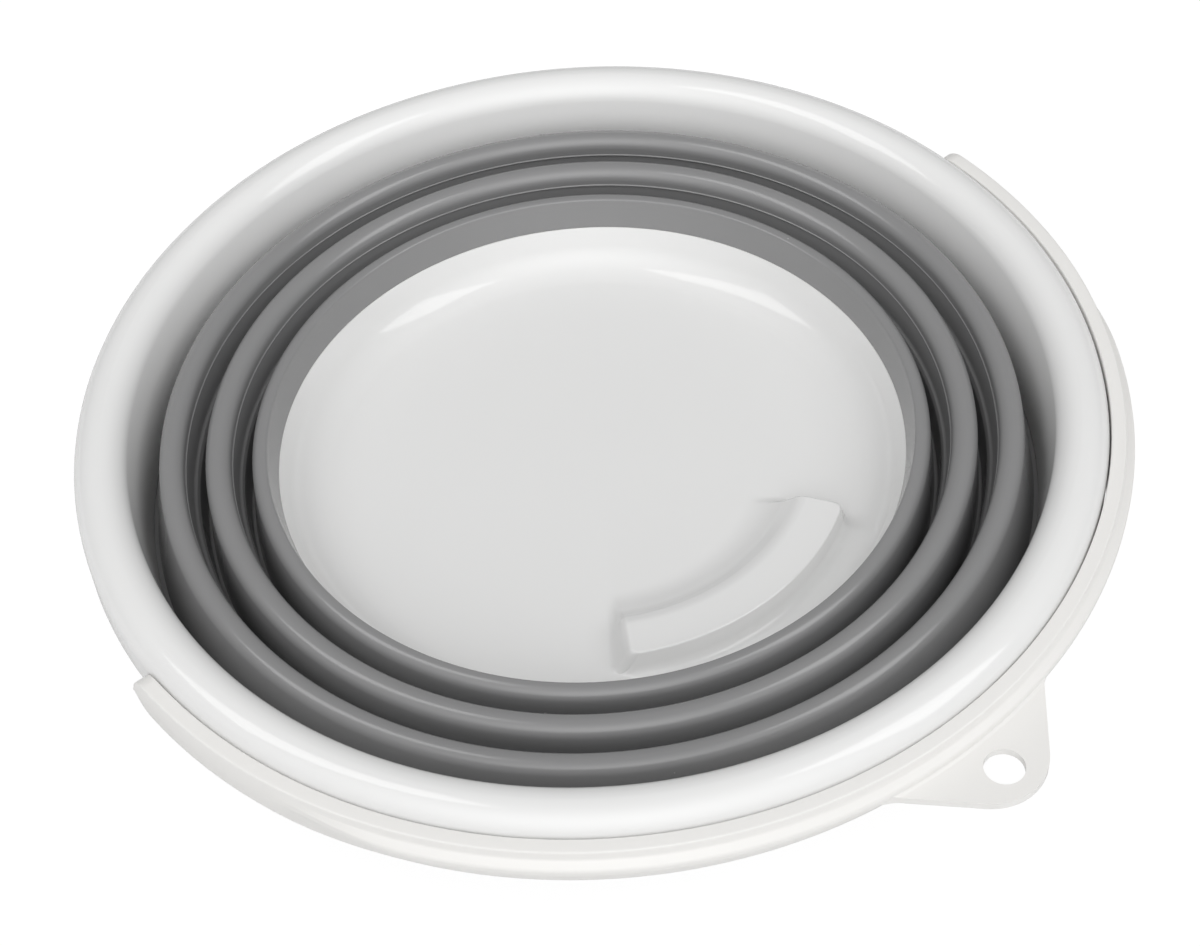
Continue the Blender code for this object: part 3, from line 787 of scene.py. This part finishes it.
# %% Draw the crests with their skins
BASE_FOLD_SECTION = (
    (99.9, 23.5, 0),
    (100.5, 26.4, 0.8),
    (105.0, 26.7, 3.5),
    (107.6, 2.2, 0),
    (106.4, 2.2, 0),
    (103.6, 24.8, 1.9),
    (102.1, 24.8, 0.5),
    (101.9, 23.5, 0),
)
INNER_FOLD_SECTION = (
    (111.6, 24.5, 0),
    (111.6, 28.8, 3.9),
    (119.3, 28.8, 3.75),
    (121.3, 2.2, 0),
    (120.1, 2.2, 0),
    (117.9, 26.9, 2.1),
    (113.6, 26.9, 1.7),
    (113.6, 24.5, 0),
)
OUTER_FOLD_SECTION = (
    (125.95, 26.0, 0),
    (125.95, 30.4, 3.8),
    (132.95, 30.4, 3.75),
    (138.4, 2.2, 0),
    (137.2, 2.2, 0),
    (131.7, 28.5, 2.1),
    (127.95, 28.5, 1.6),
    (127.95, 26.0, 0),
)
# Each fold with the height under which it starts to bend
FOLDS = (
    ("base_crest", BASE_FOLD_SECTION, "base", "inner_ring", "base_fold_skin", 23.0 * MM),
    ("inner_crest", INNER_FOLD_SECTION, "inner_ring", "outer_ring", "inner_fold_skin", 24.3 * MM),
    ("outer_crest", OUTER_FOLD_SECTION, "outer_ring", "rim", "outer_fold_skin", 25.8 * MM),
)

# %% Turn them
SKIN_CUTS = 24
LONG_SIDE = 10.0 * MM


def divide_skin(shape):
    """Extra points down the long straight sides, so that they can bend."""
    long_sides = [edge for edge in shape.edges if edge.calc_length() > LONG_SIDE]
    bmesh.ops.subdivide_edges(shape, edges=long_sides, cuts=SKIN_CUTS, use_grid_fill=False)


for name, section, lower, upper, node, bend_start in FOLDS:
    shape = draw_outline(section)
    divide_skin(shape)
    crest = finish_piece(name, spin_whole(shape), soft_grey, None, (node,))
    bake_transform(crest)

# %% [markdown]
# ## The handle
#
# The handle is a half ring. Towards its ends it is a plain flat strip on edge, and over the grip
# a rounded flange stands out from its side for the fingers. The flange could be joined on, but
# it fades out softly at both ends. So both sections are drawn with the same corners and spun
# through the same half turn, and then each point slides from the one shape to the other along
# the handle. Past the pivots the section closes down in a half circle, for the rounded ends.

# %% Draw the handle's sections
# Width out from the inner side, height and rounding of each corner
END_SECTION = (
    (-0.6, 0.0, 0.4),
    (-0.6, 14.5, 0.45),
    (4.05, 14.5, 0.6),
    (4.25, 11.6, 1.2),
    (4.35, 9.9, 1.0),
    (4.38, 7.2, 1.0),
    (4.3, 6.0, 0.8),
    (4.0, 0.0, 0.9),
)
FLANGE_SECTION = (
    (-0.6, 0.0, 0.4),
    (-0.6, 14.5, 0.45),
    (3.8, 14.5, 0.6),
    (4.1, 11.6, 1.2),
    (6.8, 9.9, 1.3),
    (6.7, 7.0, 1.0),
    (4.3, 6.0, 0.8),
    (3.4, 0.0, 0.9),
)
HANDLE_INNER = 159.4
HANDLE_HEIGHT = 14.5
HANDLE_STEPS = 128
HANDLE_END_STEPS = 16
HANDLE_CORNER_STEPS = 4
END_OVERSHOOT = HANDLE_HEIGHT / 2 / HANDLE_INNER


def spin_handle(section):
    """Half a turn towards -Y and both overshooting ends, in one mesh."""
    placed = [(HANDLE_INNER + width, height - HANDLE_HEIGHT / 2, rounding)
              for width, height, rounding in section]
    legs = ((END_OVERSHOOT, HANDLE_END_STEPS), (math.pi, HANDLE_STEPS),
            (END_OVERSHOOT, HANDLE_END_STEPS))
    return spin_legs(draw_outline(placed, steps=HANDLE_CORNER_STEPS), math.pi - END_OVERSHOOT,
                     legs)


# %% Spin the handle and round its ends
GRIP_SPAN = math.radians(57.0)
BLEND_SPAN = math.radians(71.0)
END_WELD = 0.01 * MM


def grip_share(angle):
    """1 over the grip, falling softly to 0 towards the ends."""
    share = min(1.0, max(0.0, (BLEND_SPAN - abs(angle)) / (BLEND_SPAN - GRIP_SPAN)))
    return share * share * (3 - 2 * share)


def round_end(corner, angle):
    """Draw a point beyond the pivots in to a half circle."""
    share = min(1.0, (abs(angle) - math.pi / 2) / END_OVERSHOOT)
    new_angle = math.pi / 2 + END_OVERSHOOT * math.sin(share * math.pi / 2)
    turn = math.copysign(new_angle - abs(angle), angle)
    corner.co = Matrix.Rotation(turn, 3, "Z") @ corner.co
    corner.co.z *= math.cos(share * math.pi / 2)


handle_shape = spin_handle(END_SECTION)
flange_shape = spin_handle(FLANGE_SECTION)
for corner, flange_corner in zip(handle_shape.verts, flange_shape.verts):
    angle = math.atan2(corner.co.x, -corner.co.y)
    corner.co = corner.co.lerp(flange_corner.co, grip_share(angle))
    if abs(angle) > math.pi / 2:
        round_end(corner, angle)
    corner.co.z += pivot_height
flange_shape.free()
bmesh.ops.remove_doubles(handle_shape, verts=handle_shape.verts, dist=END_WELD)
bmesh.ops.holes_fill(handle_shape, edges=handle_shape.edges, sides=0)
handle = finish_piece("handle_arc", handle_shape, warm_white, "handle", ("handle",))

# %% [markdown]
# ### The hanging tab
#
# The tab is moulded on the middle of the handle, with a soft hollow where it leaves the flange.
# A bevel of the joined edge would be uneven there. So a section with that hollow is spun through
# a few degrees, and trimmed by an upright block in the tab's outline, and the hollow follows
# the handle all along the root. The outline is drawn as a pointed tip with a large rounding,
# which gives the round end. The hole is cut last.

# %% Shape the tab
TAB_SECTION = (
    (160.6, 26.0, 0),
    (190.0, 26.0, 0),
    (190.0, 28.5, 0),
    (166.1, 28.5, 1.6),
    (165.7, 30.1, 0),
    (160.6, 30.1, 0),
)
# Place across the tab, distance from the middle axis and rounding of each corner
TAB_OUTLINE = (
    (-38.0, 157.0, 0),
    (-38.0, 158.6, 0),
    (-29.0, 163.8, 9.0),
    (0.0, 194.75, 17.0),
    (29.0, 163.8, 9.0),
    (38.0, 158.6, 0),
    (38.0, 157.0, 0),
)
TAB_HALF_SPAN = math.radians(14.0)
TAB_STEPS = 40
TAB_OUTLINE_STEPS = 24
TRIM_BOTTOM = 20.0 * MM
TRIM_HEIGHT = 14.0 * MM

tab = draw_outline(TAB_SECTION)
spin_legs(tab, -math.pi / 2 - TAB_HALF_SPAN, ((2 * TAB_HALF_SPAN, TAB_STEPS),))
bmesh.ops.holes_fill(tab, edges=[edge for edge in tab.edges if edge.is_boundary], sides=0)
trim = draw_outline(TAB_OUTLINE, steps=TAB_OUTLINE_STEPS)
for corner in trim.verts:
    corner.co = Vector((corner.co.x, -corner.co.z, TRIM_BOTTOM))
face = bmesh.ops.contextual_create(trim, geom=trim.edges[:])["faces"]
pushed = bmesh.ops.extrude_face_region(trim, geom=face)["geom"]
bmesh.ops.translate(trim, vec=(0, 0, TRIM_HEIGHT),
                    verts=[part for part in pushed if isinstance(part, bmesh.types.BMVert)])

# %% Cut its hole
TAB_HOLE_RADIUS = 5.8 * MM
TAB_HOLE_DISTANCE = 176.4 * MM
TAB_HOLE_HEIGHT = 27.0 * MM
TAB_HOLE_DEPTH = 12.0 * MM
TAB_HOLE_STEPS = 64

hole = bmesh.new()
bmesh.ops.create_cone(hole, cap_ends=True, segments=TAB_HOLE_STEPS, radius1=TAB_HOLE_RADIUS,
                      radius2=TAB_HOLE_RADIUS, depth=TAB_HOLE_DEPTH,
                      matrix=Matrix.Translation((0, -TAB_HOLE_DISTANCE, TAB_HOLE_HEIGHT)))
tab_piece = add_object("tab", tab)
combine(tab_piece, [(add_object("tab_trim", trim), "INTERSECT"),
                    (add_object("tab_hole", hole), "DIFFERENCE")])
print("tab", len(tab_piece.data.polygons), "faces")

# %% [markdown]
# ### The studs
#
# The handle snaps into the rim by two short studs, whose wider heads sit just past the sockets,
# towards the middle. They could be turned from a section too, but little of them is seen, so
# they are plain round bars joined to the handle's ends.

# %% Join the tab and the studs to the handle
STUD_RADIUS = 3.3 * MM
STUD_OUTER = 161.5 * MM
STUD_END = SOCKET_INNER - 0.3 * MM
HEAD_RADIUS = 4.4 * MM
HEAD_LENGTH = 1.0 * MM

studs = bmesh.new()
heads = bmesh.new()
for side in (-1, 1):
    add_bar(studs, STUD_RADIUS, STUD_END - HEAD_LENGTH / 2, STUD_OUTER, side)
    add_bar(heads, HEAD_RADIUS, STUD_END - HEAD_LENGTH, STUD_END, side)
combine(handle, [(tab_piece, "UNION"), (add_object("studs", studs), "UNION"),
                 (add_object("stud_heads", heads), "UNION")])
cover(handle, warm_white)
print("handle with tab and studs:", len(handle.data.polygons), "faces")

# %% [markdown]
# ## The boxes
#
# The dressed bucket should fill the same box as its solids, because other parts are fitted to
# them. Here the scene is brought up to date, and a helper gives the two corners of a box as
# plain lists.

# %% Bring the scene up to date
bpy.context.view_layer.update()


def plain(box):
    """The two corners of a box as plain lists."""
    return [list(corner) for corner in box]
